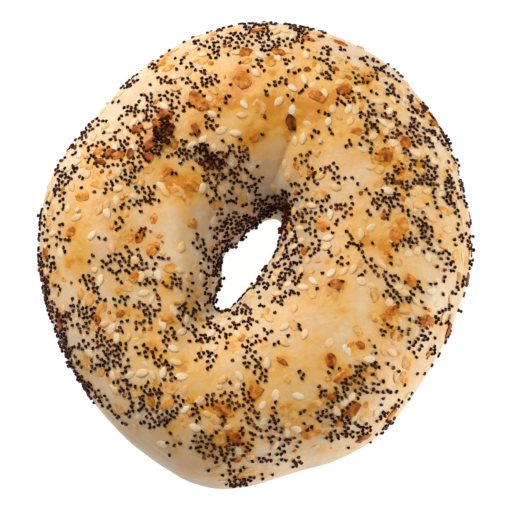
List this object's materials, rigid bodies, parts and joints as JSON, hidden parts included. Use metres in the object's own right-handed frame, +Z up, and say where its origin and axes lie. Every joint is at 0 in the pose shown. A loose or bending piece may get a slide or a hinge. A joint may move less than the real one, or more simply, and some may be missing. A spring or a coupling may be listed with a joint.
{
  "type": "everything bagel",
  "caption": "Baked ring of bread, uneven and oval, with a narrow slanting hole and a flat base. Sesame seeds and onion and garlic flakes are fused to its crown.",
  "frame": {"origin": "on the flat base, under the middle of the ring's outline", "axes": "+Z up through the hole, +Y along the ring's longer diameter, towards the end where the crease runs out of the hole, and +X along its shorter diameter"},
  "size_m": [0.1083, 0.119, 0.0379],
  "materials": {
    "crust": "smooth baked crust with a slight sheen, golden on the crown and pale round the waist",
    "poppy_seed": "near black, slightly glossy seeds",
    "sesame": "pale cream seeds with a slight sheen",
    "flakes": "toasted onion and garlic, dry and slightly translucent"
  },
  "bodies": {
    "root": {"bagel": "crust"}
  },
  "joints": []
}
